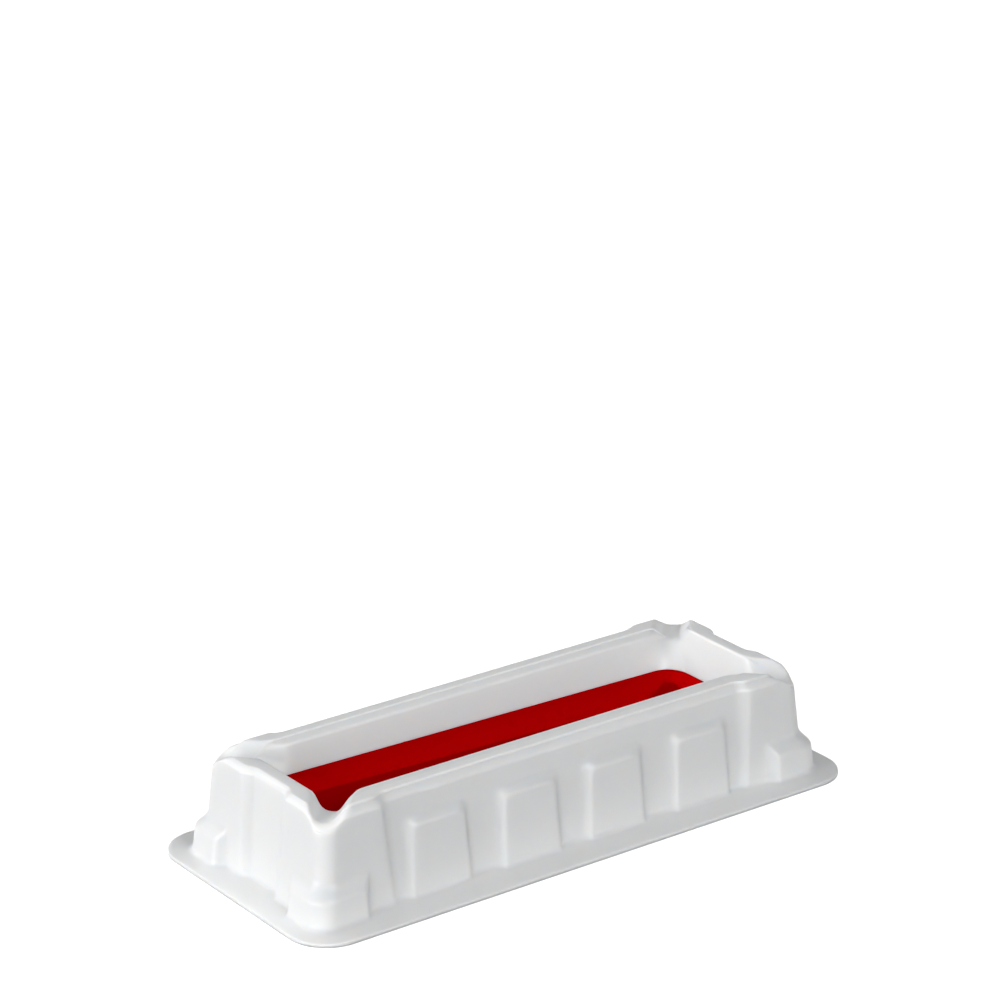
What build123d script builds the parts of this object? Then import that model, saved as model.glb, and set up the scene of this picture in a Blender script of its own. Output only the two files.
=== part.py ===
"""A reagent reservoir: flange, skirt, rim and trough formed from one plastic sheet, part filled with reagent.

X runs along the trough, Y across it and Z up. The origin is the centre of the flange's underside.
The sheet fills the space between two surfaces: its upper face, and that face moved inward by the thickness.
Each surface bounds a solid form, so the sheet is the outer form less the inner one.
"""
from build123d import *
from math import cos, hypot, radians, sin, tan
import os

# Sizes in millimetres and angles in degrees, on the upper face of the sheet.
sheet = 0.8                   # thickness, the same everywhere
height = 23.9                 # underside of the flange to the top of the rim
flange_length = 140.0
flange_width = 61.2
flange_corner_radius = 9.2

# Skirt, measured where its panels leave the top of the flange
skirt_length = 124.0          # over the recessed end panels
skirt_width = 43.0            # over the recessed side panels
wall_draft = 4.6              # lean of every outer face from upright
relief = 1.45                 # how far the corner blocks and the pads stand out of the panels
block_on_side = 17.85         # corner block along a long wall, to the middle of its sloping edge
block_on_end = 17.15          # corner block along an end wall
block_corner_radius = 4.4
block_edge_radius = 2.9       # upright edges of the blocks beside the panels
root_radius = 1.1             # inside corners in plan, where blocks, pads and feet rise from the wall behind
base_fillet = 1.0             # skirt into flange

# Pads: raised stiffening panels, facing each other on the two long walls
pad_middles = (-33.3, -10.65, 10.65, 33.3)
pad_width = 14.2              # to the middle of the sloping edges
pad_height = 17.4             # where the sloping top meets the panel
pad_top_drop = 1.2            # from there down to the edge of the pad's flat face
pad_edge_radius = 1.8

# Feet: a low step round the outside of each corner block
foot_step = 2.0               # how far a foot stands out of its block
foot_height = 8.3
foot_top_drop = 1.2           # fall of its sloping top
foot_on_side = 12.9           # length of its long face, to the middle of the sloping edge
foot_on_end = 11.2
foot_corner_radius = 4.4
foot_edge_radius = 2.2

# Rim: a flat bead between two sloping shoulders
bead_inset = 3.5              # bead's outer edge inside the foot of the panels
bead_width = 2.4
bead_step = 0.5               # height of the bead above its shoulders
bead_side_run = 0.12
bead_bulge = 1.2              # the bead stands out this much more at the corner blocks
outer_shoulder_run = 1.6
outer_shoulder_drop = 0.9
inner_shoulder_run = 2.6      # on the long sides
inner_shoulder_drop = 0.9
end_shoulder_run = 0.6        # the same at the ends

# Trough
side_lean = 16.0              # lean of the long inner walls from upright
end_lean = 23.6
wall_foot = 9.5               # height at which the long walls turn in to the floor
floor_height = 3.4
floor_width = 6.0
rim_corner_radius = 3.0       # inner corners at the rim
trough_corner_radius = 5.0    # inner corners at the foot of the walls
floor_corner_radius = 2.4

# Pour spouts: a round-bottomed channel through the rim at each corner
spout_depth = 3.2
spout_radius = 2.0
spout_lean = 36.5             # lean of its sides from upright
spout_lip_radius = 1.2        # its sides turn over into the rim
spout_lip_rise = 6.0          # angle at which the lips run out above the rim
spout_length = 8.0            # reach of the channel each way from the rim

# Reagent
liquid_level = 16.3           # height of its surface
wetting_gap = 0.02            # hairline between the reagent and the sheet

beyond = 3.0                  # how far a form runs past what it joins or cuts
strip = 1.0                   # how far a raised form's plan follows the wall behind it
above = height + beyond
panel_x = skirt_length/2
panel_y = skirt_width/2
block_x = panel_x + relief
block_y = panel_y + relief
bead_x = panel_x - bead_inset
bead_y = panel_y - bead_inset
rim_x = bead_x - bead_width
rim_y = bead_y - bead_width
half_turn_in = tan(radians(22.5))


def moved(profile, distance):
    """A profile of (across, up) points moved to the right of its path, its corners kept sharp."""
    lines = []
    for (a, b), (c, d) in zip(profile, profile[1:]):
        length = hypot(c - a, d - b)
        along = ((c - a)/length, (d - b)/length)
        lines.append((a + along[1]*distance, b - along[0]*distance, *along))
    points = [lines[0][:2]]
    for (a, b, u, v), (c, d, s, t) in zip(lines, lines[1:]):
        reach = ((c - a)*t - (d - b)*s)/(u*t - v*s)
        points.append((a + reach*u, b + reach*v))
    return points


def across(profile, z):
    """Where a rising or falling profile stands at height z."""
    for (a, b), (c, d) in zip(profile, profile[1:]):
        if min(b, d) <= z <= max(b, d) and b != d:
            return a + (c - a)*(z - b)/(d - b)
    return profile[0][0] if abs(z - profile[0][1]) < abs(z - profile[-1][1]) else profile[-1][0]


def mirrored(quadrant):
    """A closed counter-clockwise loop from the corners of its first quadrant, each (x, y, radius)."""
    upper = quadrant + [(-x, y, radius) for x, y, radius in reversed(quadrant)]
    return upper + [(x, -y, radius) for x, y, radius in reversed(upper)]


def rounded(loop):
    """The face inside a counter-clockwise loop of corners, each (x, y, radius)."""
    face = make_face(Polyline(*[(x, y) for x, y, _ in loop], close=True))
    for size in sorted({radius for _, _, radius in loop if radius > 0}):
        spots = [v for v in face.vertices() for x, y, r in loop if r == size and hypot(v.X - x, v.Y - y) < 0.001]
        face = fillet(spots, size)
    return face.face()


def block_plan(half_x, half_y, step, from_x, from_y, inset, edge, corner, root):
    """The plan of a rectangle whose corners stand out by a step beyond 45 degree slopes, moved in by an inset."""
    x = half_x - inset
    y = half_y - inset
    a = from_x - step/2 + inset*half_turn_in
    b = from_y - step/2 + inset*half_turn_in
    return rounded(mirrored([(x, b, root), (x + step, b + step, edge), (x + step, y + step, corner),
                             (a + step, y + step, edge), (a, y, root)]))


def risen(plans):
    """The form that joins plans at their heights, given as (height, face), by straight walls."""
    return loft([Pos(0, 0, z)*face for z, face in plans], ruled=True)


def outer_profile(top, run, drop, inset):
    """How far a drafted wall with a sloping shoulder stands in at each height, moved in with the sheet."""
    slope = tan(radians(wall_draft))
    low = -beyond
    high = top - drop
    profile = [((low - sheet)*slope, low), ((high - sheet)*slope, high)]
    profile.append((profile[-1][0] + run, top))
    profile.append((profile[-1][0] + beyond, top))
    return moved(profile, inset)


def skirt(inset):
    profile = outer_profile(height - bead_step, outer_shoulder_run, outer_shoulder_drop, inset)
    plans = []
    for depth, z in profile:
        plans.append((z, block_plan(panel_x, panel_y, relief, block_x - block_on_side, block_y - block_on_end, depth,
                                    block_edge_radius - inset, block_corner_radius - inset, root_radius + inset)))
    return risen(plans)


def bead(inset):
    low = height - bead_step - outer_shoulder_drop
    profile = moved([(0, low), (bead_side_run, height), (beyond, height)], inset)
    from_x = block_x - block_on_side + bead_inset*half_turn_in
    from_y = block_y - block_on_end + bead_inset*half_turn_in
    plans = []
    for depth, z in profile:
        plans.append((z, block_plan(bead_x, bead_y, bead_bulge, from_x, from_y, depth,
                                    block_edge_radius - inset, block_corner_radius - inset, root_radius + inset)))
    return risen(plans)


def feet(inset):
    profile = outer_profile(foot_height, foot_step, foot_top_drop, inset)
    forms = []
    for i in (-1, 1):
        for j in (-1, 1):
            plans = []
            for depth, z in profile:
                x = block_x - depth
                y = block_y - depth
                a = block_x + foot_step/2 - foot_on_side + depth*half_turn_in
                b = block_y + foot_step/2 - foot_on_end + depth*half_turn_in
                loop = [(x, b, root_radius + inset), (x + foot_step, b + foot_step, foot_edge_radius - inset),
                        (x + foot_step, y + foot_step, foot_corner_radius - inset),
                        (a + foot_step, y + foot_step, foot_edge_radius - inset), (a, y, root_radius + inset),
                        (a - strip, y, 0), (a - strip, b - strip, 0), (x, b - strip, 0)]
                loop = [(i*x, j*y, radius) for x, y, radius in loop]
                plans.append((z, rounded(loop if i == j else loop[::-1])))
            forms.append(risen(plans))
    return forms


def pads(inset):
    profile = outer_profile(pad_height, relief, pad_top_drop, inset)
    forms = []
    for middle in pad_middles:
        plans = []
        for depth, z in profile:
            wide = pad_width/2 + relief/2 - depth*half_turn_in
            y = panel_y - depth
            loop = mirrored([(wide + strip, y, 0), (wide, y, root_radius + inset),
                             (wide - relief, y + relief, pad_edge_radius - inset)])
            plans.append((z, Pos(middle, 0)*rounded(loop)))
        forms.append(risen(plans))
    return forms


def trough(inset):
    """The hollow under the rim's inner edge, grown by the inset."""
    shoulder = height - bead_step
    wall_top = shoulder - inner_shoulder_drop
    side_top = rim_y - bead_side_run - inner_shoulder_run
    end_top = rim_x - bead_side_run - end_shoulder_run
    side_foot = side_top - (wall_top - wall_foot)*tan(radians(side_lean))
    end_foot = end_top - (wall_top - floor_height)*tan(radians(end_lean))
    side = [(rim_y, above), (rim_y - bead_side_run, shoulder), (side_top, wall_top), (side_foot, wall_foot),
            (floor_width/2, floor_height), (0, floor_height)]
    end = [(rim_x, above), (rim_x - bead_side_run, shoulder), (end_top, wall_top),
           (end_foot, floor_height), (0, floor_height)]
    corner = [(rim_corner_radius, wall_top), (trough_corner_radius, wall_foot), (floor_corner_radius, floor_height)]
    side = moved(side, -inset)
    end = moved(end, -inset)
    plans = []
    for z in sorted({round(z, 6) for _, z in side + end if z < above}) + [above]:
        x = across(end, z)
        y = across(side, z)
        plans.append((z, rounded(mirrored([(x, y, across(corner, z) + inset)]))))
    return risen(plans)


def spouts(inset):
    """The four channels, each across a corner of the rim on its diagonal."""
    lean = radians(spout_lean)
    rim = height - inset
    radius = spout_radius + inset
    point = rim - spout_depth + radius - radius/sin(lean)
    half = (rim - point)*tan(lean)
    far = half + spout_length
    rise = spout_length*tan(radians(spout_lip_rise))
    loop = [(0, point), (half, rim), (far, rim + rise), (far, above), (-far, above), (-far, rim + rise), (-half, rim)]
    section = make_face(Polyline(*loop, close=True))
    lips = [v for v in section.vertices() if abs(v.Y - rim) < 0.001]
    section = fillet(lips, spout_lip_radius - inset)
    section = fillet(section.vertices().sort_by(Axis.Y)[0], radius)
    middle_x = bead_x - bead_width/2
    middle_y = bead_y - bead_width/2
    channels = []
    for i in (-1, 1):
        for j in (-1, 1):
            start = Vector(i*middle_x, j*middle_y, 0) - Vector(i, j, 0)*spout_length
            plane = Plane(origin=start, x_dir=(-j, i, 0), z_dir=(i, j, 0))
            channels.append(extrude(plane*section, amount=3*spout_length))
    return channels


def form(inset):
    """The solid bounded by the sheet's upper face moved in by the inset."""
    top = sheet - inset
    plate = extrude(Pos(0, 0, top)*RectangleRounded(flange_length, flange_width, flange_corner_radius), amount=-beyond)
    body = skirt(inset) + feet(inset) + pads(inset) + plate
    foot = [edge for edge in body.edges().filter_by_position(Axis.Z, top, top)
            if abs(edge.center().X) < block_x + foot_step and abs(edge.center().Y) < block_y + foot_step]
    body = fillet(foot, base_fillet + inset)
    return body + bead(inset) - trough(inset) - spouts(inset)


def reagent():
    """The liquid that fills the trough up to its level."""
    upwards = (Align.CENTER, Align.CENTER, Align.MIN)
    air = Pos(0, 0, liquid_level)*Box(flange_length, flange_width, height, align=upwards)
    return trough(-wetting_gap) - air


reservoir = form(0) - form(sheet)
os.makedirs("parts", exist_ok=True)
for name, solid in (("reservoir", reservoir), ("reagent", reagent())):
    solid = solid.solid()
    solid.label = name
    export_step(solid, f"parts/{name}.step")
    print(name, round(solid.volume, 1), "mm3", solid.is_valid, solid.bounding_box())
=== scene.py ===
import math

import bmesh
import bpy
import numpy as np
from mathutils import Matrix, Vector


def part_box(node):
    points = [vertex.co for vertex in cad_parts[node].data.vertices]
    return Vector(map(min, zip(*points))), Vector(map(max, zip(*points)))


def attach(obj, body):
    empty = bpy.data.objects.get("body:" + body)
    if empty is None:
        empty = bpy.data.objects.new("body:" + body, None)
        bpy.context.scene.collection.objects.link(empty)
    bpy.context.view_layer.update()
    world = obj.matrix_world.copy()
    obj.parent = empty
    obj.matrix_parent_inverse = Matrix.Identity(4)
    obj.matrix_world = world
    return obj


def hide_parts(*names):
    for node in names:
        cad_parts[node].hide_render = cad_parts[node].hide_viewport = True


# Lengths below are in millimetres, in the frame's axes: X along the trough, Y across it, Z up.
MM = 0.001

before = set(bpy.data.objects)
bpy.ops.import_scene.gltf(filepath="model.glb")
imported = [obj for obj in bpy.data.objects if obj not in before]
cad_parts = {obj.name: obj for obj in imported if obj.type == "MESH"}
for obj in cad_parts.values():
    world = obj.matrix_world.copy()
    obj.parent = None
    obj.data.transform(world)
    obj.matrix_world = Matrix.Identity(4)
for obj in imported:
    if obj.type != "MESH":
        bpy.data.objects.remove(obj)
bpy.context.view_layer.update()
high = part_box("reservoir")[1]/MM
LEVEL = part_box("reagent")[1].z/MM
HALF_LENGTH = high.x
HALF_WIDTH = high.y
TOP = high.z
FLANGE_CORNER = 9.2
SHEET = 0.8

# Skirt
PANEL_X = 62.0
PANEL_Y = 21.5
RELIEF = 1.45
BLOCK_EDGE_ROUNDING = 0.6
BLOCK_SLOPE = 0.85            # relief gained for each mm along the wall
ROOT_ROUNDING = 0.9
# Middle of the block's sloping edge, at the flange.
BLOCK_FROM = {"side": 44.9, "end": 5.6}
# How much further from the middle that edge is for each mm of height.
BLOCK_LEAN = {"side": 0.083, "end": 0.065}
SKIRT_CORNER = 3.8            # round the blocks' outer faces
# How much of the feet's relief the base of the skirt's corner gives up.
FOOT_CORNER_SHARE = 0.6
# Stations nearer the middle than this keep their places up the skirt.
HELD = {"side": 50.0, "end": 11.5}

# Pads on the long walls
PAD_MIDDLES = (-33.9, -11.0, 11.0, 33.9)
PAD_HALF = 7.75
PAD_SLOPE = 1.15
PAD_LEAN = 0.045
PAD_TOP = 17.5
PAD_TOP_DROP = 1.3
PAD_ROUNDING = 0.5
PAD_CORNER_ROUNDING = 2.4

# Feet round the blocks
FOOT_STEP = 2.0
FOOT_TOP = 9.0
FOOT_TOP_DROP = 2.5
FOOT_FROM = {"side": 52.5, "end": 12.9}
FOOT_SLOPE = 1.2
FOOT_ROUNDING = 0.5

SHOULDER_Z = 22.4             # top of the outer wall
WALL_MARKS = (SHEET, FOOT_TOP, FOOT_TOP - FOOT_TOP_DROP, PAD_TOP, PAD_TOP - PAD_TOP_DROP, SHOULDER_Z)

# Pour spouts. Each lies on a diagonal, and distances out from the middle are measured along it.
SPOUT_AXIS = 40.55            # x - y on the diagonal of the corner where both are positive
SPOUT_MOUTH = 48.4            # where its floor begins, over the trough
SPOUT_FLOOR = 20.6            # height of its floor there
SPOUT_RISE = 0.13             # how much the floor rises for each mm outward
SPOUT_RADIUS = 2.7
SPOUT_SIDE_SLOPE = 1.35
SPOUT_LIP = 0.8
SPOUT_TURN_REACH = 3.5        # how far in from the outer wall the floor starts turning down
SPOUT_TURN_DROP = 1.8         # and how far it has dropped when it meets that wall
SPOUT_TURN_ROUNDING = 1.0

# Flare of the long walls towards the spouts
FLARE_FROM = 47.3             # how far along X it starts
FLARE_SLOPE = 0.5
FLARE_MOST = 2.35
FLARE_ROUNDING = 0.5
# Heights between which the wall passes from straight to flared.
FLARE_BOTTOM = 17.2
FLARE_TOP = 20.8
# Distances from the middle over which it sets in on the end walls.
FLARE_SIDES = (6.0, 11.0)


def soft_min(a, b, k):
    """The smaller of two heights, with their crossing rounded over a difference of k."""
    return np.minimum(a, b) - np.maximum(k - np.abs(a - b), 0.0)**2/(4.0*k)


def soft_max(a, b, k):
    """The larger of two heights, rounded in the same way."""
    return -soft_min(-a, -b, k)


# ---------------------------------------------------------------- profile of the sheet
# Each corner of a profile is (distance from the middle, height, rounding radius, points in the rounding,
# points in the run after it). The skirt's run has heights in place of a number of points, and its points
# are close together near them. Both profiles have the same numbers of points, so that their rings meet.
def side_profile():
    """Across the sheet, through the middle of a long wall, from the flange to the trough's middle."""
    return [
        (HALF_WIDTH, 0.0, 0.0, 1, 1),
        (HALF_WIDTH, SHEET, 0.2, 3, 4),
        (PANEL_Y, SHEET, 1.1, 6, WALL_MARKS),
        (19.75, SHOULDER_Z, 0.9, 6, 2),
        (18.1, 23.38, 0.18, 4, 1),
        (17.95, TOP, 0.18, 4, 4),
        (15.6, TOP, 0.35, 4, 1),
        (15.5, 23.52, 0.3, 4, 5),
        (13.05, 23.3, 0.9, 7, 12),
        (9.07, 9.5, 3.0, 5, 3),
        (1.6, 3.5, 1.5, 4, 1),
        (0.0, 3.3, 0.0, 1, 0),
    ]


def end_profile():
    """Along the sheet, through the middle of an end wall, with the same corners as the side's."""
    return [
        (HALF_LENGTH, 0.0, 0.0, 1, 1),
        (HALF_LENGTH, SHEET, 0.2, 3, 4),
        (PANEL_X, SHEET, 1.1, 6, WALL_MARKS),
        (60.2, 22.75, 0.8, 6, 2),
        (59.7, 23.4, 0.6, 4, 1),
        (58.9, TOP, 1.0, 4, 4),
        (56.15, TOP, 0.9, 4, 1),
        (55.85, 23.4, 0.6, 4, 5),
        (55.55, 22.6, 0.8, 7, 12),
        (49.8, 9.5, 3.0, 5, 3),
        (46.9, 3.5, 1.5, 4, 1),
        (44.0, 3.3, 0.0, 1, 0),
    ]


# Radius of the ring's corners, seen from above, at each corner of the profile.
CORNER_RADII = [FLANGE_CORNER, FLANGE_CORNER, SKIRT_CORNER, 3.8, 3.6, 3.2, 3.0, 2.8, 1.8, 7.5, 1.2, 0.0]
# Which way those radii go when the profile moves inward.
CORNER_STEP = [0, 0, -1, -1, -1, -1, 1, 1, 1, 1, 1, 0]
# How much of the blocks' relief each corner of the profile takes.
BLOCK_SHARE = [0.0, 0.0, 1.0, 1.0, 0.9, 0.86, 0.0, 0.0, 0.0, 0.0, 0.0, 0.0]
SHOULDER = 3          # index of the profile's corner at the top of the outer wall
WALL_CORNER = 7       # index of the one at the top of the trough's wall
WELD = 0.001          # vertices nearer than this are one
LEAST_RADIUS = 0.15   # of a rounding that was moved inward
ROUNDING_MOST = 0.48  # share of a run that the rounding at one of its ends may take

# Distances between the mesh's points, close to the marks and far from them
STATION_GAPS = (0.46, 2.2)
HEIGHT_GAPS = (0.3, 1.6)
GAP_GROWTH = 0.35     # how much the distance grows for each mm away from a mark
WALK_POINTS = 4000
CORNER_POINTS = 22
# How far past its middle, at the flange, the block's sloping edge is marked.
BLOCK_EDGE_PAST = {"side": 0.8, "end": 0.7}

# Reagent
HAIRLINE = 0.02
LEVEL_SLOPE = 0.0155          # how much lower its surface lies for each mm along X
MENISCUS_RISE = 0.35
MENISCUS_REACH = 0.9
REAGENT_LEVELS = 14
MENISCUS_STEPS = (0.08, 4.0, 12)     # first and last distance from the wall, and how many
SURFACE_FROM = 5.0                   # distance from the wall at which the even steps begin
SURFACE_STEPS = 5

# Stage and light, in metres from here on
FLOOR_WHITE = 0.8
FLOOR_GLOW = 0.75
FLOOR_BOUNCE = 0.15
WORLD = 0.02
BACKDROP_TOP = 0.15           # upward part of the direction in which the white backdrop ends
BACKDROP_BLUR = 0.05
FLOOR_HALF = 3.0
FLOOR_DROP = 0.00002          # how far the floor lies below the object's base
SOFTBOX_SIZE = 0.7
SOFTBOX_DISTANCE = 1.2
# Name, azimuth and elevation in degrees, and power in watts.
SOFTBOXES = [
    ("left", -90, 10, 10.3),
    ("front_left", -60, 10, 3.0),
    ("front", 0, 35, 8.4),
    ("back_left", -150, 35, 4.1),
    ("high_back", 180, 60, 2.5),
]

# Camera, fitted to the photograph. Lens and sensor in mm, and angles in degrees.
LENS = 133.6
SENSOR = 36.0
CAMERA_DISTANCE = 0.7848
CAMERA_AIM = (0.012173, 0.019800, 0.061307)
CAMERA_AZIMUTH = -36.3362
CAMERA_ELEVATION = 20.6828
CAMERA_ROLL = -0.2307

# Colours and looks of the materials, as linear red, green and blue
SHEET_TONES = ((0.872, 0.868, 0.858, 1.0), (0.885, 0.880, 0.870, 1.0))
SHEET_ROUGHNESS = (0.32, 0.40)
SHEET_IOR = 1.5
SHEET_GLOW_RADIUS = (1.0, 0.9, 0.8)
SHEET_GLOW_SCALE = 0.0015
SPECK_COLOR = (0.16, 0.12, 0.10, 1.0)
SPECK_SHARE = 0.05            # of the cells that hold one
SPECK_EDGE = (0.020, 0.032)   # distances from a cell's point over which a speck fades out
LIQUID_TONES = ((0.49, 0.0, 0.0, 1.0), (0.53, 0.0, 0.001, 1.0))
LIQUID_BOUNCED = (0.09, 0.0, 0.0, 1.0)     # darker, so that it throws less red on the walls
LIQUID_TINT = (1.0, 0.0, 0.0, 1.0)
LIQUID_METALLIC = 0.4
LIQUID_ROUGHNESS = 0.03
FLOOR_ROUGHNESS = 0.9


def moved(points, distance):
    """A profile's corners moved to the left of its path, with their roundings kept concentric."""
    lines = []
    for (a, b, *_), (c, d, *_) in zip(points, points[1:]):
        run = math.hypot(c - a, d - b)
        u, v = (c - a)/run, (d - b)/run
        lines.append((a - v*distance, b + u*distance, u, v))
    out = [(*lines[0][:2], *points[0][2:])]
    for (a, b, u, v), (c, d, s, t), point in zip(lines, lines[1:], points[1:]):
        turn = u*t - v*s
        reach = ((c - a)*t - (d - b)*s)/turn
        radius = max(point[2] - math.copysign(distance, turn), LEAST_RADIUS)
        out.append((a + reach*u, b + reach*v, radius, *point[3:]))
    a, b, u, v = lines[-1]
    end = points[-1]
    out.append((end[0], b + (end[0] - a)/u*v, *end[2:]))
    return out


def rounding(points, k):
    """Where the rounding of a profile's corner starts and ends. The profile's two ends have none."""
    here = np.array(points[k][:2])
    if k in (0, len(points) - 1):
        return here, here
    before = np.array(points[k - 1][:2]) - here
    after = np.array(points[k + 1][:2]) - here
    lengths = np.linalg.norm(before), np.linalg.norm(after)
    before, after = before/lengths[0], after/lengths[1]
    angle = math.acos(np.clip(before @ after, -1.0, 1.0))
    reach = min(points[k][2]/math.tan(angle/2), ROUNDING_MOST*lengths[0], ROUNDING_MOST*lengths[1])
    return here + before*reach, here + after*reach


def sampled(points):
    """Places along a profile, and the (fractional) index of the corner that each belongs to."""
    places, index = [], []
    last = len(points) - 1
    for k, (x, z, _, in_arc, in_run) in enumerate(points):
        here = np.array((x, z))
        start, end = rounding(points, k)
        for t in np.linspace(0.0, 1.0, in_arc if 0 < k < last else 1):
            places.append((1 - t)**2*start + 2*t*(1 - t)*here + t**2*end)
            index.append(float(k))
        if k == last:
            break
        following, _ = rounding(points, k + 1)
        if isinstance(in_run, tuple):
            heights = spread(SHEET, SHOULDER_Z, in_run, *HEIGHT_GAPS)
            fractions = (heights - SHEET)/(SHOULDER_Z - SHEET)
        else:
            fractions = np.linspace(0.0, 1.0, in_run + 2)
        for t in fractions[1:-1]:
            places.append(end + (following - end)*t)
            index.append(k + t)
    return np.array(places), np.array(index)


# ---------------------------------------------------------------- stations round the perimeter
def spread(start, stop, marks, fine, coarse):
    """Positions from start to stop, close together near the marks and wider apart away from them."""
    walk = np.linspace(start, stop, WALK_POINTS)
    away = np.min(np.abs(walk[:, None] - np.array(marks)[None, :]), axis=1)
    rate = 1.0/np.clip(GAP_GROWTH*away, fine, coarse)
    count = np.concatenate(([0.0], np.cumsum((rate[1:] + rate[:-1])/2*np.diff(walk))))
    return np.interp(np.linspace(0.0, count[-1], int(round(count[-1])) + 1), count, walk)


def along_wall(marks, wall, reach):
    """Stations along a straight side, as shares of its half length. Its halves have the same marks."""
    marks = marks + [BLOCK_FROM[wall] + BLOCK_EDGE_PAST[wall], FOOT_FROM[wall], reach]
    marks = [side*mark for side in (-1, 1) for mark in marks]
    return spread(-reach, reach, marks, *STATION_GAPS)/reach


def perimeter():
    """Arrays (cx, cy, nx, ny), one entry a station, running counter-clockwise.

    cx and cy place the station on the straight sides, from -1 to 1, and nx and ny are its outward
    direction.
    """
    pad_edges = [middle + side*PAD_HALF for middle in PAD_MIDDLES for side in (-1, 1)]
    xs = along_wall(pad_edges, "side", PANEL_X - SKIRT_CORNER)
    ys = along_wall([], "end", PANEL_Y - SKIRT_CORNER)
    turn = np.linspace(0.0, math.pi/2, CORNER_POINTS)
    rows = []
    rows += [(x, -1.0, 0.0, -1.0) for x in xs[:-1]]
    rows += [(1.0, -1.0, math.sin(t), -math.cos(t)) for t in turn[:-1]]
    rows += [(1.0, y, 1.0, 0.0) for y in ys[:-1]]
    rows += [(1.0, 1.0, math.cos(t), math.sin(t)) for t in turn[:-1]]
    rows += [(x, 1.0, 0.0, 1.0) for x in xs[::-1][:-1]]
    rows += [(-1.0, 1.0, -math.sin(t), math.cos(t)) for t in turn[:-1]]
    rows += [(-1.0, y, -1.0, 0.0) for y in ys[::-1][:-1]]
    rows += [(-1.0, -1.0, -math.cos(t), -math.sin(t)) for t in turn[:-1]]
    return [np.array(column) for column in zip(*rows)]


# ---------------------------------------------------------------- relief of the skirt
def block_relief(along, z, wall):
    """How far the corner blocks stand out of a wall's panel."""
    beyond = np.abs(along) - BLOCK_FROM[wall] - BLOCK_LEAN[wall]*(z - SHEET)
    ramp = beyond*BLOCK_SLOPE + RELIEF/2
    return soft_min(soft_max(ramp, 0.0, ROOT_ROUNDING), RELIEF, BLOCK_EDGE_ROUNDING)


def foot_relief(along, z, wall):
    """How far the feet stand out of the blocks."""
    sides = (np.abs(along) - FOOT_FROM[wall])*FOOT_SLOPE + FOOT_STEP/2
    top = (FOOT_TOP - z)*FOOT_STEP/FOOT_TOP_DROP
    ramp = soft_min(sides, top, FOOT_ROUNDING)
    return soft_min(soft_max(ramp, 0.0, ROOT_ROUNDING), FOOT_STEP, FOOT_ROUNDING)


def pad_relief(along, z):
    """How far the pads stand out of a long wall's panel."""
    height = np.zeros_like(along)
    for middle in PAD_MIDDLES:
        sides = (PAD_HALF - PAD_LEAN*z - np.abs(along - middle))*PAD_SLOPE + RELIEF/2
        top = (PAD_TOP - z)*RELIEF/PAD_TOP_DROP
        ramp = soft_min(sides, top, PAD_CORNER_ROUNDING)
        height = np.maximum(height, soft_min(soft_max(ramp, 0.0, ROOT_ROUNDING), RELIEF, PAD_ROUNDING))
    return height


# ---------------------------------------------------------------- the sheet's surfaces
def spout_share(across):
    """Share of a spout's depth at a distance from its axis: 1 on the axis and 0 outside the spout."""
    across = np.abs(across)
    bowl = SPOUT_RADIUS - np.sqrt(np.maximum(SPOUT_RADIUS**2 - np.minimum(across, SPOUT_RADIUS)**2, 0.0))
    tangent = SPOUT_RADIUS*SPOUT_SIDE_SLOPE/math.hypot(1.0, SPOUT_SIDE_SLOPE)
    at_tangent = SPOUT_RADIUS - math.sqrt(SPOUT_RADIUS**2 - tangent**2)
    side = at_tangent + (across - tangent)*SPOUT_SIDE_SLOPE
    rise = np.where(across < tangent, bowl, side)
    depth = TOP - SPOUT_FLOOR
    return 1.0 - soft_min(rise, depth, SPOUT_LIP)/depth


def smooth(value, start, stop):
    """0 before start, 1 after stop, and an even S-curve between them."""
    t = np.clip((value - start)/(stop - start), 0.0, 1.0)
    return t*t*(3.0 - 2.0*t)


def placed(share, held, usual, reach):
    """Places along a straight side that ends at reach. Those in the held length stay as usual."""
    return np.sign(share)*np.interp(np.abs(share), [0.0, held/usual, 1.0], [0.0, held, reach])


def skirt_ring(stations, half, z, radius, part, foot, footed):
    """Places (x, y) of a ring of the skirt, with a share of the blocks', feet's and pads' relief.

    half holds half the ring's length and width, and foot is how far the feet stand out at its corner.
    """
    cx, cy, nx, ny = stations
    radius = radius - (RELIEF + FOOT_CORNER_SHARE*foot)*part
    x = placed(cx, HELD["side"], PANEL_X - SKIRT_CORNER, half[0] - radius) + radius*nx
    y = placed(cy, HELD["end"], PANEL_Y - SKIRT_CORNER, half[1] - radius) + radius*ny
    along_side = np.where(np.abs(ny) == 1.0, x, HALF_LENGTH)
    along_end = np.where(np.abs(nx) == 1.0, y, HALF_WIDTH)
    base_z = np.maximum(z, SHEET)
    out = np.minimum(block_relief(along_side, base_z, "side"), block_relief(along_end, base_z, "end"))
    if footed:
        feet = np.minimum(foot_relief(along_side, base_z, "side"), foot_relief(along_end, base_z, "end"))
        pads = np.where(np.abs(ny) == 1.0, pad_relief(x, base_z), 0.0)
        out = out + feet + pads
    return x + nx*out*part, y + ny*out*part


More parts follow.
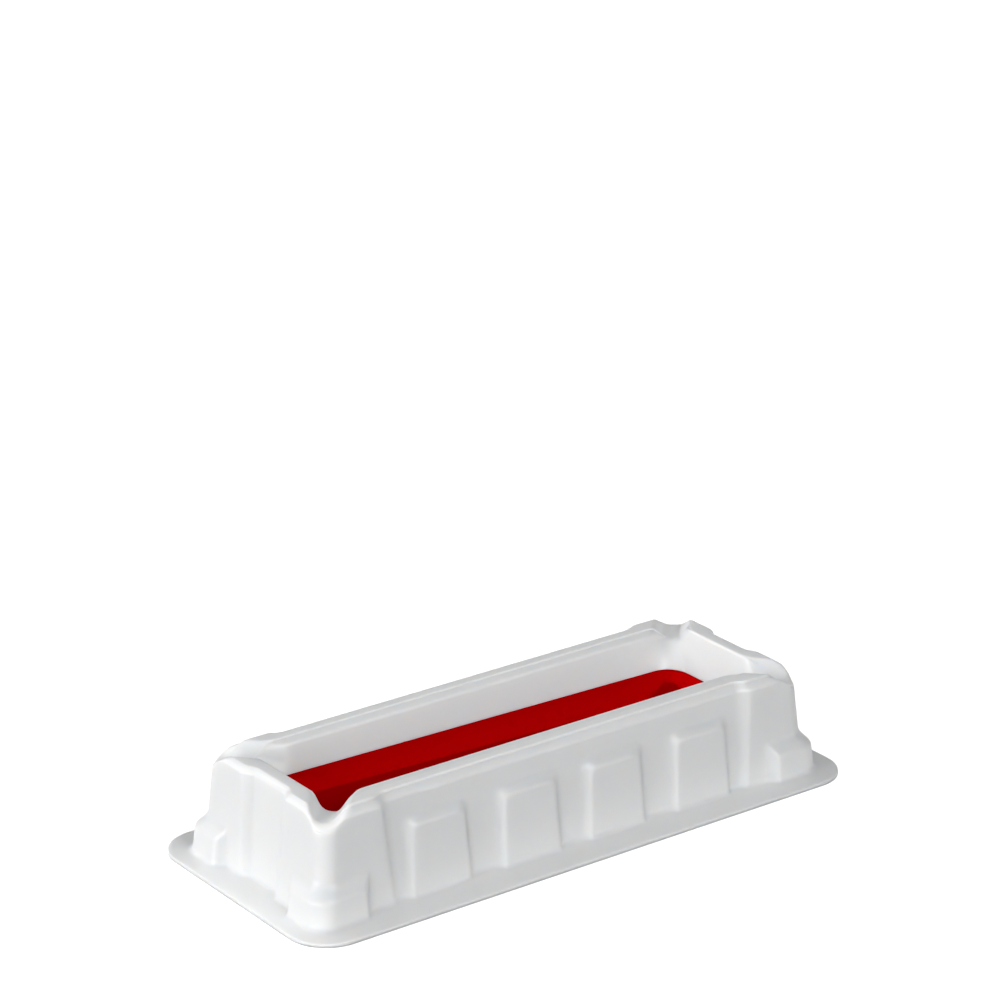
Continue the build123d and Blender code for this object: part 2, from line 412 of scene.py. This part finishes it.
def surface(inset):
    """The sheet's upper surface, or its underside for an inset of one thickness, as [ring, station, xyz]."""
    side, end = side_profile(), end_profile()
    radii, share = CORNER_RADII, BLOCK_SHARE
    shoulder, wall = SHOULDER, WALL_CORNER
    if inset:
        side, end = moved(side[1:], inset), moved(end[1:], inset)
        radii = [radius + step*inset for radius, step in zip(radii[1:], CORNER_STEP[1:])]
        share = share[1:]
        shoulder, wall = shoulder - 1, wall - 1
    side_yz, index = sampled(side)
    end_xz, _ = sampled(end)
    corner = np.interp(index, range(len(radii)), radii)
    taken = np.interp(index, range(len(share)), share)
    shoulder_y = side_yz[np.searchsorted(index, shoulder)][0]
    rim_edge, wall_top = np.interp((wall - 1, wall + 1), index, side_yz[:, 0])
    cx, cy, nx, ny = stations = perimeter()
    on_end = nx**2
    rings = []
    for (half_y, side_z), (half_x, end_z), radius, part, k in zip(side_yz, end_xz, corner, taken, index):
        radius = min(radius, half_y)
        z = side_z*(1 - on_end) + end_z*on_end
        footed = k < shoulder
        if part > 0:
            foot = foot_relief(np.array([HALF_LENGTH]), max(side_z, SHEET), "side")[0] if footed else 0.0
            x, y = skirt_ring(stations, (half_x, half_y), z, radius, part, foot, footed)
        else:
            x = cx*(half_x - radius) + radius*nx
            y = cy*(half_y - radius) + radius*ny
        if k > wall - 1:
            y = flared(x, y, z + inset, min((rim_edge - half_y)/(rim_edge - wall_top), 1.0))
        depth_in = 0.0 if footed else max(shoulder_y - half_y, 0.0)
        z = with_spouts(x, y, z, depth_in, inset)
        rings.append(np.stack([x, y, z], axis=1))
    return np.array(rings)


def flared(x, y, z, share):
    """Places across the trough of a wall that turns out towards the spouts by a share of the full flare."""
    ramp = soft_max((np.abs(x) - FLARE_FROM)*FLARE_SLOPE, 0.0, FLARE_ROUNDING)
    out = soft_min(ramp, FLARE_MOST, FLARE_ROUNDING)
    out = out*smooth(z, FLARE_BOTTOM, FLARE_TOP)*smooth(np.abs(y), *FLARE_SIDES)
    return y + np.sign(y)*out*share


def with_spouts(x, y, z, depth_in, inset):
    """Heights of a ring with the four channels sunk into it. It lies depth_in inside the outer wall."""
    along = (np.abs(x) + np.abs(y))/math.sqrt(2.0)
    across = (np.abs(x) - np.abs(y) - SPOUT_AXIS)/math.sqrt(2.0)
    floor = SPOUT_FLOOR - inset + SPOUT_RISE*(along - SPOUT_MOUTH)
    turned = 1.0 - min(depth_in/SPOUT_TURN_REACH, 1.0)
    outer = floor - SPOUT_TURN_DROP*(1.0 - math.sqrt(1.0 - turned**2))
    sunk = soft_min(z, outer, SPOUT_TURN_ROUNDING)
    return z + spout_share(across)*(sunk - z)


def closed_rings(rings, piece_name):
    """A mesh piece from rings of equal length, each joined to the next, with coinciding points merged."""
    count = rings.shape[1]
    faces = []
    for j in range(len(rings) - 1):
        here, above = j*count, (j + 1)*count
        for i in range(count):
            k = (i + 1) % count
            faces.append((here + i, here + k, above + k, above + i))
    mesh = bpy.data.meshes.new(piece_name)
    mesh.from_pydata((rings.reshape(-1, 3)*MM).tolist(), [], faces)
    piece = bpy.data.objects.new(piece_name, mesh)
    bpy.context.scene.collection.objects.link(piece)
    build = bmesh.new()
    build.from_mesh(mesh)
    bmesh.ops.remove_doubles(build, verts=build.verts, dist=WELD*MM)
    bmesh.ops.dissolve_degenerate(build, dist=WELD*MM, edges=build.edges)
    bmesh.ops.recalc_face_normals(build, faces=build.faces)
    for face in build.faces:
        face.smooth = True
    build.to_mesh(mesh)
    build.free()
    return piece


def make_reservoir():
    """The whole sheet: its upper surface, from the flange's edge to the trough's floor, and its underside.

    The underside, which is hardly seen, keeps every other ring and its last one, the trough's middle.
    """
    top = surface(0.0)
    under = surface(SHEET)
    under = np.concatenate([under[:-1:2], under[-1:]])
    return closed_rings(np.concatenate([under[::-1], top]), "reservoir_sheet")


def make_reagent():
    """The liquid, with its surface drawn up a little where it meets the walls."""
    side_yz, index = sampled(side_profile())
    end_xz, _ = sampled(end_profile())
    wall = index > WALL_CORNER + 0.5
    heights = side_yz[wall, 1][::-1]
    half_y = side_yz[wall, 0][::-1]
    end_heights = end_xz[wall, 1][::-1]
    half_x = end_xz[wall, 0][::-1]
    corner = np.interp(index[wall], range(len(CORNER_RADII)), CORNER_RADII)[::-1]
    cx, cy, nx, ny = perimeter()

    def outline(z, inward):
        """Places (x, y) inward of the trough's wall at a height, or at one height for each station."""
        x = np.interp(z, end_heights, half_x) - HAIRLINE - inward
        y = np.maximum(np.interp(z, heights, half_y) - HAIRLINE - inward, 0.0)
        radius = np.minimum(np.maximum(np.interp(z, heights, corner) - inward, 0.0), y)
        return cx*(x - radius) + radius*nx, cy*(y - radius) + radius*ny

    def ring(z, inward=0.0, drop=0.0):
        """A ring at a height, lower towards +X by the level's slope, which sets in from the bottom up."""
        level_share = (z - heights[0])/(LEVEL - heights[0])
        sloped = z - level_share*LEVEL_SLOPE*outline(z, inward)[0]
        return np.stack([*outline(sloped, inward), sloped - drop], axis=1)

    contact = LEVEL + MENISCUS_RISE
    rings = [ring(z) for z in np.linspace(heights[0] + HAIRLINE, contact, REAGENT_LEVELS)]
    rings.insert(0, rings[0]*(1.0, 0.0, 1.0))      # the bottom closes on the middle line
    half = np.interp(contact + LEVEL_SLOPE*HALF_LENGTH, heights, half_y)
    even = np.linspace(SURFACE_FROM, half, SURFACE_STEPS)
    for inward in np.concatenate([np.geomspace(*MENISCUS_STEPS), even]):
        rings.append(ring(contact, inward, MENISCUS_RISE*(1 - math.exp(-inward/MENISCUS_REACH))))
    return closed_rings(np.array(rings), "reagent_liquid")


sheet_piece = make_reservoir()
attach(sheet_piece, "root")
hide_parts("reservoir")
reagent_piece = make_reagent()
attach(reagent_piece, "root")
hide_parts("reagent")


# ---------------------------------------------------------------- materials
def new_material(name):
    """An empty node material, its node tree and its Principled node."""
    material = bpy.data.materials.new(name)
    material.use_nodes = True
    tree = material.node_tree
    shader = tree.nodes["Principled BSDF"]
    return material, tree, shader


def add(tree, kind, **settings):
    """A node with its properties and unlinked input values set."""
    node = tree.nodes.new(kind)
    for key, value in settings.items():
        if key.startswith("in_"):
            node.inputs[key[3:].replace("_", " ")].default_value = value
        else:
            setattr(node, key, value)
    return node


def with_specks(tree, place, tone):
    """A color socket: the tone with a few dark specks in it."""
    link = tree.links.new
    specks = add(tree, "ShaderNodeTexVoronoi", feature="F1", in_Scale=130.0, in_Randomness=1.0)
    link(place.outputs["Object"], specks.inputs["Vector"])
    few = add(tree, "ShaderNodeSeparateColor")
    link(specks.outputs["Color"], few.inputs["Color"])
    chosen = add(tree, "ShaderNodeMath", operation="LESS_THAN")
    chosen.inputs[1].default_value = SPECK_SHARE
    link(few.outputs["Red"], chosen.inputs[0])
    size = add(tree, "ShaderNodeMapRange", clamp=True)
    size.inputs["From Min"].default_value, size.inputs["From Max"].default_value = SPECK_EDGE
    size.inputs["To Min"].default_value = 1.0
    size.inputs["To Max"].default_value = 0.0
    link(specks.outputs["Distance"], size.inputs["Value"])
    dark = add(tree, "ShaderNodeMath", operation="MULTIPLY")
    link(chosen.outputs["Value"], dark.inputs[0])
    link(size.outputs["Result"], dark.inputs[1])
    speckled = add(tree, "ShaderNodeMix", data_type="RGBA")
    speckled.inputs["B"].default_value = SPECK_COLOR
    link(tone.outputs["Result"], speckled.inputs["A"])
    link(dark.outputs["Value"], speckled.inputs["Factor"])
    return speckled.outputs["Result"]


def grained(tree, place):
    """A normal socket: fine grain over slight waves."""
    link = tree.links.new
    grain = add(tree, "ShaderNodeTexNoise", in_Scale=900.0, in_Detail=4.0, in_Roughness=0.55)
    link(place.outputs["Object"], grain.inputs["Vector"])
    wave = add(tree, "ShaderNodeTexNoise", in_Scale=120.0, in_Detail=2.0, in_Roughness=0.5)
    link(place.outputs["Object"], wave.inputs["Vector"])
    fine = add(tree, "ShaderNodeBump", in_Strength=0.10, in_Distance=0.00005)
    link(grain.outputs["Fac"], fine.inputs["Height"])
    coarse = add(tree, "ShaderNodeBump", in_Strength=0.15, in_Distance=0.0003)
    link(wave.outputs["Fac"], coarse.inputs["Height"])
    link(fine.outputs["Normal"], coarse.inputs["Normal"])
    return coarse.outputs["Normal"]


def white_sheet():
    """White polystyrene: faintly glossy and translucent, finely mottled, with a few dark specks in it."""
    material, tree, shader = new_material("white_sheet")
    link = tree.links.new
    place = add(tree, "ShaderNodeTexCoord")
    cloud = add(tree, "ShaderNodeTexNoise", in_Scale=90.0, in_Detail=3.0, in_Roughness=0.5)
    link(place.outputs["Object"], cloud.inputs["Vector"])
    tone = add(tree, "ShaderNodeMix", data_type="RGBA")
    tone.inputs["A"].default_value, tone.inputs["B"].default_value = SHEET_TONES
    link(cloud.outputs["Fac"], tone.inputs["Factor"])
    link(with_specks(tree, place, tone), shader.inputs["Base Color"])
    link(grained(tree, place), shader.inputs["Normal"])
    rough = add(tree, "ShaderNodeMapRange")
    rough.inputs["To Min"].default_value, rough.inputs["To Max"].default_value = SHEET_ROUGHNESS
    link(cloud.outputs["Fac"], rough.inputs["Value"])
    link(rough.outputs["Result"], shader.inputs["Roughness"])
    shader.inputs["IOR"].default_value = SHEET_IOR
    shader.inputs["Subsurface Weight"].default_value = 1.0
    shader.inputs["Subsurface Radius"].default_value = SHEET_GLOW_RADIUS
    shader.inputs["Subsurface Scale"].default_value = SHEET_GLOW_SCALE
    return material


def red_liquid():
    """Opaque deep red reagent with a still surface, which mirrors what is round it in red only."""
    material, tree, shader = new_material("red_liquid")
    link = tree.links.new
    place = add(tree, "ShaderNodeTexCoord")
    cloud = add(tree, "ShaderNodeTexNoise", in_Scale=40.0, in_Detail=2.0, in_Roughness=0.5)
    link(place.outputs["Object"], cloud.inputs["Vector"])
    tone = add(tree, "ShaderNodeMix", data_type="RGBA")
    tone.inputs["A"].default_value, tone.inputs["B"].default_value = LIQUID_TONES
    link(cloud.outputs["Fac"], tone.inputs["Factor"])
    path = add(tree, "ShaderNodeLightPath")
    bounced = add(tree, "ShaderNodeMix", data_type="RGBA")
    bounced.inputs["B"].default_value = LIQUID_BOUNCED
    link(tone.outputs["Result"], bounced.inputs["A"])
    link(path.outputs["Is Diffuse Ray"], bounced.inputs["Factor"])
    link(bounced.outputs["Result"], shader.inputs["Base Color"])
    ripple = add(tree, "ShaderNodeBump", in_Strength=0.02, in_Distance=0.0005)
    link(cloud.outputs["Fac"], ripple.inputs["Height"])
    link(ripple.outputs["Normal"], shader.inputs["Normal"])
    shader.inputs["Roughness"].default_value = LIQUID_ROUGHNESS
    shader.inputs["Metallic"].default_value = LIQUID_METALLIC
    shader.inputs["Specular IOR Level"].default_value = 0.0
    shader.inputs["Specular Tint"].default_value = LIQUID_TINT
    return material


def seen_directly(tree):
    """Two sockets: 1 for rays from the camera, also by way of mirrors or glass, and 0 for the others.

    The second is 1 only for those that come by way of mirrors or glass.
    """
    path = add(tree, "ShaderNodeLightPath")
    mirrored = add(tree, "ShaderNodeMath", operation="MAXIMUM")
    tree.links.new(path.outputs["Is Glossy Ray"], mirrored.inputs[0])
    tree.links.new(path.outputs["Is Transmission Ray"], mirrored.inputs[1])
    seen = add(tree, "ShaderNodeMath", operation="MAXIMUM")
    tree.links.new(path.outputs["Is Camera Ray"], seen.inputs[0])
    tree.links.new(mirrored.outputs["Value"], seen.inputs[1])
    return seen.outputs["Value"], mirrored.outputs["Value"]


def white_stage():
    """A floor that is white to the camera but for the object's shadow, and lights it as a grey one."""
    material, tree, shader = new_material("white_stage")
    link = tree.links.new
    seen, _ = seen_directly(tree)
    color = add(tree, "ShaderNodeMix", data_type="RGBA")
    color.inputs["A"].default_value = (FLOOR_BOUNCE, FLOOR_BOUNCE, FLOOR_BOUNCE, 1.0)
    color.inputs["B"].default_value = (FLOOR_WHITE, FLOOR_WHITE, FLOOR_WHITE, 1.0)
    link(seen, color.inputs["Factor"])
    link(color.outputs["Result"], shader.inputs["Base Color"])
    shader.inputs["Roughness"].default_value = FLOOR_ROUGHNESS
    shader.inputs["Specular IOR Level"].default_value = 0.0
    shader.inputs["Emission Color"].default_value = (1.0, 1.0, 1.0, 1.0)
    glow = add(tree, "ShaderNodeMath", operation="MULTIPLY")
    link(seen, glow.inputs[0])
    glow.inputs[1].default_value = FLOOR_GLOW
    link(glow.outputs["Value"], shader.inputs["Emission Strength"])
    return material


sheet_piece.data.materials.append(white_sheet())
reagent_piece.data.materials.append(red_liquid())


# ---------------------------------------------------------------- stage, light and camera
def make_floor():
    """A wide square just under the object."""
    half = FLOOR_HALF
    mesh = bpy.data.meshes.new("floor")
    corners = [(-half, -half, 0.0), (half, -half, 0.0), (half, half, 0.0), (-half, half, 0.0)]
    mesh.from_pydata(corners, [], [(0, 1, 2, 3)])
    floor = bpy.data.objects.new("floor", mesh)
    floor.location.z = -FLOOR_DROP
    bpy.context.scene.collection.objects.link(floor)
    mesh.materials.append(white_stage())


def make_world():
    """Dim surroundings, white all round to the camera, with a white backdrop low down in mirrors."""
    world = bpy.data.worlds.new("surroundings")
    bpy.context.scene.world = world
    world.use_nodes = True
    tree = world.node_tree
    link = tree.links.new
    direction = add(tree, "ShaderNodeTexCoord")
    split = add(tree, "ShaderNodeSeparateXYZ")
    link(direction.outputs["Generated"], split.inputs["Vector"])
    backdrop = add(tree, "ShaderNodeMapRange", clamp=True)
    backdrop.inputs["From Min"].default_value = BACKDROP_TOP + BACKDROP_BLUR
    backdrop.inputs["From Max"].default_value = BACKDROP_TOP - BACKDROP_BLUR
    link(split.outputs["Z"], backdrop.inputs["Value"])
    path = add(tree, "ShaderNodeLightPath")
    _, mirrored = seen_directly(tree)
    low = add(tree, "ShaderNodeMath", operation="MULTIPLY")
    link(mirrored, low.inputs[0])
    link(backdrop.outputs["Result"], low.inputs[1])
    white = add(tree, "ShaderNodeMath", operation="MAXIMUM")
    link(path.outputs["Is Camera Ray"], white.inputs[0])
    link(low.outputs["Value"], white.inputs[1])
    color = add(tree, "ShaderNodeMix", data_type="RGBA")
    color.inputs["A"].default_value = (WORLD, WORLD, WORLD, 1.0)
    color.inputs["B"].default_value = (1.0, 1.0, 1.0, 1.0)
    link(white.outputs["Value"], color.inputs["Factor"])
    link(color.outputs["Result"], tree.nodes["Background"].inputs["Color"])


def softbox(name, azimuth, elevation, power):
    """A square softbox aimed at the object. Azimuth 0 is in front of it and 90 to its right."""
    data = bpy.data.lights.new(name, "AREA")
    data.shape = "SQUARE"
    data.size = SOFTBOX_SIZE
    data.energy = power
    light = bpy.data.objects.new(name, data)
    a, e = math.radians(azimuth), math.radians(elevation)
    place = Vector((math.sin(a)*math.cos(e), -math.cos(a)*math.cos(e), math.sin(e)))*SOFTBOX_DISTANCE
    light.location = place
    light.rotation_euler = place.to_track_quat("Z", "Y").to_euler()
    bpy.context.scene.collection.objects.link(light)


def make_camera():
    """The photograph's view: a long lens from the front left, aimed above and behind the middle."""
    data = bpy.data.cameras.new("camera")
    data.lens = LENS
    data.sensor_width = SENSOR
    camera = bpy.data.objects.new("camera", data)
    azimuth = math.radians(-CAMERA_AZIMUTH)
    elevation = math.radians(CAMERA_ELEVATION)
    roll = math.radians(CAMERA_ROLL)
    flat = math.cos(elevation)
    forward = Vector((math.sin(azimuth)*flat, math.cos(azimuth)*flat, -math.sin(elevation)))
    level = Vector((math.cos(azimuth), -math.sin(azimuth), 0.0))
    right = level*math.cos(roll) + level.cross(forward)*math.sin(roll)
    up = right.cross(forward)
    place = Vector(CAMERA_AIM) - forward*CAMERA_DISTANCE
    camera.matrix_world = Matrix((
        (right.x, up.x, -forward.x, place.x),
        (right.y, up.y, -forward.y, place.y),
        (right.z, up.z, -forward.z, place.z),
        (0.0, 0.0, 0.0, 1.0),
    ))
    bpy.context.scene.collection.objects.link(camera)
    bpy.context.scene.camera = camera


make_floor()
make_world()
for name, azimuth, elevation, power in SOFTBOXES:
    softbox(name, azimuth, elevation, power)
make_camera()
bpy.context.scene.view_settings.view_transform = "Standard"
